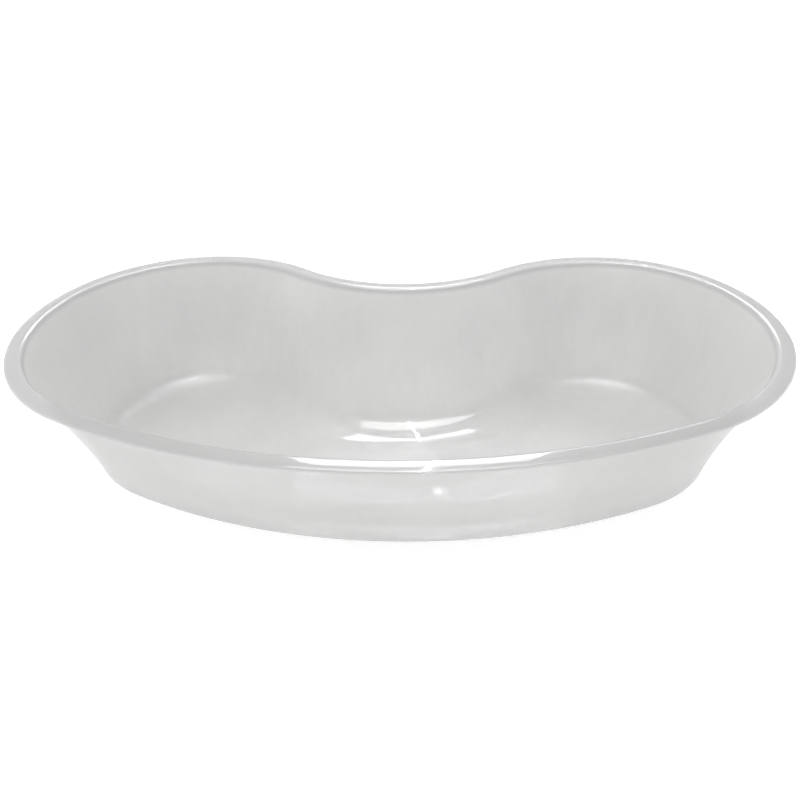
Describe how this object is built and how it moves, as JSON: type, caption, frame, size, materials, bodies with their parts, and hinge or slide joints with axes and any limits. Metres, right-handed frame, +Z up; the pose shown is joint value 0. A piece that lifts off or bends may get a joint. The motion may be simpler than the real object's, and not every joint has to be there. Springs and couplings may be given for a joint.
{
  "type": "kidney dish",
  "caption": "Shallow bean-shaped hospital dish with a flat floor, flared wall and rolled lip, held against the body to catch fluid or to carry dressings.",
  "frame": {"origin": "on the table under the middle of the dish's length and width", "axes": "+X along the length, +Y towards the hollow side, +Z up"},
  "size_m": [0.2498, 0.1299, 0.046],
  "materials": {
    "milky_polypropylene": "natural translucent polypropylene, glossy on the fillets and lip, satin on the floor"
  },
  "bodies": {
    "root": {"kidney_dish": "milky_polypropylene"}
  },
  "joints": []
}
